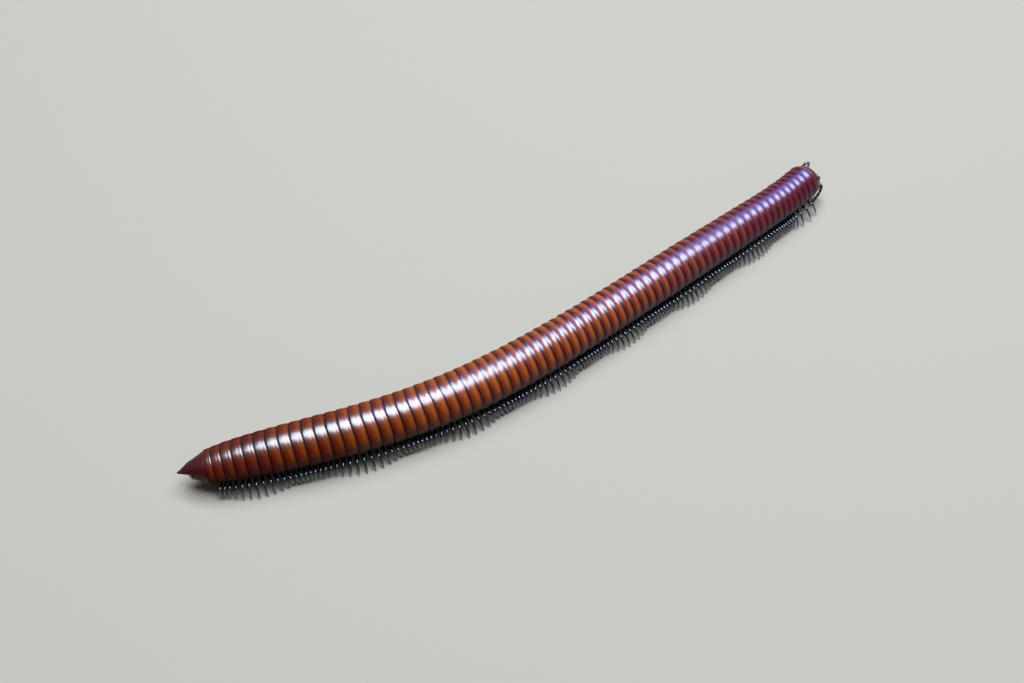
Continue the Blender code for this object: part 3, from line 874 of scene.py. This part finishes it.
def eye(name, node, side, shade):
    """An eye patch: small lens domes in staggered rows, set on a low ellipsoid."""
    half = np.array(EYE_HALF)
    rows = np.arange(-5, 6)
    across, row = np.meshgrid(rows, rows)
    spots = np.stack([across + 0.5 * (row % 2), row * math.sqrt(0.75)], axis=-1).reshape(-1, 2)
    spots = spots * EYE_SPACING / half[:2]
    spots = spots[np.sum(spots**2, axis=1) < 0.80]
    rise = np.sqrt(1.0 - np.sum(spots**2, axis=1))
    centres = np.column_stack([spots, rise]) * half
    ups = unit(centres / half**2)
    beside = unit(np.cross(ups, np.array([0.0, 1.0, 0.0])))
    third = np.cross(ups, beside)
    latitude = np.linspace(-0.35, 1.45, 6)[None, :, None, None]
    angle = round_angles(10)[None, None, :, None]
    ring = np.cos(angle) * beside[:, None, None] + np.sin(angle) * third[:, None, None]
    lens = np.cos(latitude) * ring + np.sin(latitude) * ups[:, None, None]
    domes = centres[:, None, None] + EYE_LENS * lens
    patch = ellipsoid((0.0, 0.0, 0.0), half * 0.985, 24, 48)
    axes = eye_axes(side)
    centre = mirrored(EYE_CENTRE, side)
    grids = [head_to_world(patch @ axes + centre)[None], head_to_world(domes @ axes + centre)]
    return piece(name, grids, shade, [node])


def antenna(name, node, path, shade):
    """A feeler of seven clubs: the club's width carried along each straight joint of the path, which
    starts inside the head, and four blunt cones at the tip."""
    path = np.array(path)
    path[0] = path[0] + FEELER_ROOT_DEPTH * unit(np.array(HEAD_MIDDLE) - path[0])
    club = np.array(ANTENNA_JOINT)
    steps = path[1:] - path[:-1]
    centres = (path[:-1, None] + club[None, :, :1] * steps[:, None]).reshape(-1, 3)
    widths = np.tile(club[:, 1], len(steps))
    centres = np.concatenate([centres, path[-1:]])
    widths = np.append(widths, 0.20)
    along = unit(np.gradient(centres, axis=0))
    across = unit(np.cross(along, (0.0, 0.0, 1.0)) + np.cross(along, (1.0, 0.0, 0.0)))
    third = np.cross(along, across)
    angle = round_angles(20)[:, None]
    section = np.cos(angle) * across[:, None] + np.sin(angle) * third[:, None]
    tube = centres[:, None] + widths[:, None, None] * section
    corner = round_angles(4)[:, None] + 0.4
    roots = path[-1] + 0.10 * (np.cos(corner) * across[-1] + np.sin(corner) * third[-1])
    cone = np.array([(-0.05, 0.075), (0.05, 0.06), (0.11, 0.03), (0.125, 0.01)])
    cones = roots[:, None, None] + cone[:, :1, None] * along[-1] + cone[:, 1:, None] * section[-1, ::2]
    grids = [head_to_world(tube)[None], head_to_world(cones)]
    return piece(name, grids, shade, [node])


def reach_of_oval(direction, centre_up, half_width, top, bottom):
    """How far an oval reaches from a point (0, centre_up) along directions (left, up)."""
    half = (top - bottom) / 2.0
    drop = centre_up - (top + bottom) / 2.0
    a = (direction[..., 0] / half_width) ** 2 + (direction[..., 1] / half) ** 2
    b = 2.0 * drop * direction[..., 1] / half**2
    c = (drop / half) ** 2 - 1.0
    return (-b + np.sqrt(np.maximum(b**2 - 4.0 * a * c, 0.0))) / (2.0 * a)


def telson(shades):
    """The last segment and its spine in one skin: at each station the larger reach of the segment's
    oval and the spine's, blended where they are alike, from a point inside both."""
    station = np.concatenate(
        [np.linspace(7.95, 4.60, 40), np.linspace(4.56, 4.40, 7), np.linspace(4.30, 0.0, 60)]
    )
    body = through(TELSON_ROWS, 120)[::-1]
    spine = through(TAIL_SPINE_ROWS, 120)[::-1]
    body = np.stack([np.interp(station, body[:, 0], column) for column in body.T[1:]], axis=-1)[:, None]
    point = np.stack([np.interp(station, spine[:, 0], column) for column in spine.T[1:]], axis=-1)[:, None]
    middle = (point[..., 1] + point[..., 2]) / 2.0
    angle = round_angles(ROUND_STEPS)
    direction = np.stack([np.cos(angle), np.sin(angle)], axis=-1)[None]
    of_body = reach_of_oval(direction, middle, body[..., 0], body[..., 1], body[..., 2])
    of_body = np.where(station[:, None] > 4.42, of_body, 0.0)
    of_spine = reach_of_oval(direction, middle, point[..., 0], point[..., 1], point[..., 2])
    of_spine = np.where(station[:, None] < 6.3, of_spine, 0.0)
    near = np.maximum(0.35 - np.abs(of_body - of_spine), 0.0) / 0.35
    reach = np.maximum(of_body, of_spine) + 0.35 * near**3 / 6.0
    up = middle + reach * np.sin(angle)
    seam = 0.05 * hump(station - 6.9, 0.08)[:, None]
    left = (reach - seam) * np.cos(angle)
    stations = np.broadcast_to(station[:, None], reach.shape)
    points = np.stack([stations, left, up + axis_height(RINGS_FROM)], axis=-1)
    share = 0.10 + 0.12 * smooth((station - 4.0) / 3.0)
    attributes = {
        "share": np.broadcast_to(share[:, None], reach.shape)[None],
        # down is scaled by 0.6 here, so the tail's sides take less of the painted shade
        "down": np.broadcast_to(1.0 - from_belly(angle) / np.pi, reach.shape)[None] * 0.6,
        "tone": np.full(reach.shape, 0.95)[None],
    }
    shade = shades["tail"]
    return piece("last_segment", [to_world(points)[None]], shade, ["telson"], attributes)


def valve(name, node, side, shade):
    """A valve: half an oval disc drawn in towards its top by sqrt(1 - t^2), with a raised inner rim."""
    root, top_station, half_width, top, bottom = VALVE
    arc = np.radians(np.linspace(-90.0, 90.0, 40))
    middle, half = (top + bottom) / 2.0, (top - bottom) / 2.0
    edge = GAP / 2.0
    outer = np.stack([edge + (half_width - edge) * np.cos(arc), middle + half * np.sin(arc)], axis=-1)
    inner = np.stack([np.full(14, edge), np.linspace(top, bottom, 16)[1:-1]], axis=-1)
    loop = np.concatenate([outer, inner])
    centre = np.array([0.62, middle])
    size = np.sin(np.linspace(np.pi / 2.0, 0.04, 26))
    size = np.concatenate([[0.9], size])
    deep = np.concatenate([[0.0], np.linspace(0.12, 1.0, 26) ** 0.9])
    spread = centre + size[:, None, None] * (loop - centre)
    rim = VALVE_RIM[0] * hump(spread[..., 0] - 0.32, VALVE_RIM[1]) * smooth(deep * 3.0)[:, None]
    station = root - (root - top_station) * deep[:, None] - rim
    height = axis_height(RINGS_FROM)
    points = np.stack([station, side * spread[..., 0], spread[..., 1] + height], axis=-1)
    return piece(name, [to_world(points)[None]], shade, [node])


def tail(shades):
    """The tail end: the last segment with its spine, two valves and the small scale under them."""
    telson(shades)
    valve("anal_valve_left", "valve_left", 1, shades["head"])
    valve("anal_valve_right", "valve_right", -1, shades["head"])
    centre = np.array(LOWER_SCALE[0]) + np.array([0.0, 0.0, axis_height(RINGS_FROM)])
    scale = to_world(ellipsoid(centre, LOWER_SCALE[1], 20, 40))[None]
    piece("lower_scale", [scale], shades["head"], ["telson"])


def camera():
    """The photograph's camera."""
    data = bpy.data.cameras.new("camera")
    data.lens = LENS
    data.sensor_width = SENSOR
    data.clip_start = 0.01
    azimuth, elevation = math.radians(CAMERA_AZIMUTH), math.radians(CAMERA_ELEVATION)
    ahead = Vector(
        (
            math.sin(azimuth) * math.cos(elevation),
            math.cos(azimuth) * math.cos(elevation),
            -math.sin(elevation),
        )
    )
    made = bpy.data.objects.new("camera", data)
    made.location = Vector(CAMERA_PLACE) / 1000.0
    made.rotation_euler = ahead.to_track_quat("-Z", "Y").to_euler()
    bpy.context.scene.collection.objects.link(made)
    bpy.context.scene.camera = made


def area_light(name, place, target, size, power, code):
    """A soft square light at a place, turned to a target, both in metres."""
    data = bpy.data.lights.new(name, "AREA")
    data.shape = "RECTANGLE"
    data.size, data.size_y = size
    data.energy = power
    data.color = colour(code)[:3]
    made = bpy.data.objects.new(name, data)
    made.location = place
    aim = Vector(target) - Vector(place)
    made.rotation_euler = aim.to_track_quat("-Z", "Y").to_euler()
    bpy.context.scene.collection.objects.link(made)


def studio():
    """A pale floor, an overhead key light, a weak fill and a pale surround."""
    half = 1.5
    corners = [(-half, -half, 0.0), (half, -half, 0.0), (half, half, 0.0), (-half, half, 0.0)]
    mesh = bpy.data.meshes.new("floor")
    mesh.from_pydata(corners, [], [(0, 1, 2, 3)])
    floor = bpy.data.objects.new("floor", mesh)
    bpy.context.scene.collection.objects.link(floor)
    shade, _, _ = new_material("matte_paper", {"Base Color": colour("#A4978A"), "Roughness": 0.9})
    mesh.materials.append(shade)
    area_light("key", (0.18, 0.17, 1.10), (0.02, 0.0, 0.0), (0.95, 0.70), 32.0, "#DDF0FF")
    area_light("fill", (0.30, -1.10, 1.00), (0.0, 0.0, 0.0), (1.0, 1.0), 1.0, "#FFF1E2")
    world = bpy.data.worlds.new("surround")
    world.use_nodes = True
    background = world.node_tree.nodes["Background"]
    background.inputs["Color"].default_value = colour("#DDE2EA")
    background.inputs["Strength"].default_value = 0.08
    bpy.context.scene.world = world
    bpy.context.scene.view_settings.view_transform = "Standard"


camera()
SHADES = {
    "black": plain_cuticle(
        "polished_black_cuticle",
        ["#050406", "#0A080B", "#140E12"],
        900.0,
        {"Roughness": 0.25, "IOR": 1.56, "Coat Weight": 0.6, "Coat Roughness": 0.08},
    ),
    "legs": plain_cuticle(
        "polished_leg_cuticle",
        ["#050406", "#0A080B", "#120D12"],
        900.0,
        {
            "Roughness": 0.30,
            "IOR": 1.56,
            "Specular Tint": colour("#8FA2FF"),
            "Coat Weight": 1.0,
            "Coat Roughness": 0.20,
            "Coat IOR": 1.9,
        },
    ),
    "head": plain_cuticle(
        "red_brown_head_cuticle",
        ["#2E060A", "#480B0D", "#621611"],
        500.0,
        {"Roughness": 0.4, "IOR": 1.56, "Coat Weight": 0.8, "Coat Roughness": 0.15},
    ),
    "collum": ring_cuticle("lime_hardened_cuticle_collar", COLLUM_END),
    "tail": ring_cuticle("lime_hardened_cuticle_tail", 0.0),
}
trunk(SHADES)
collum(SHADES)
head_capsule(SHADES)
head_parts(SHADES)
eye("ocelli_left", "eye_left", 1, SHADES["black"])
eye("ocelli_right", "eye_right", -1, SHADES["black"])
antenna("feeler_left", "antenna_left", ANTENNA_PATHS["antenna_left"], SHADES["black"])
antenna("feeler_right", "antenna_right", ANTENNA_PATHS["antenna_right"], SHADES["black"])
tail(SHADES)
studio()
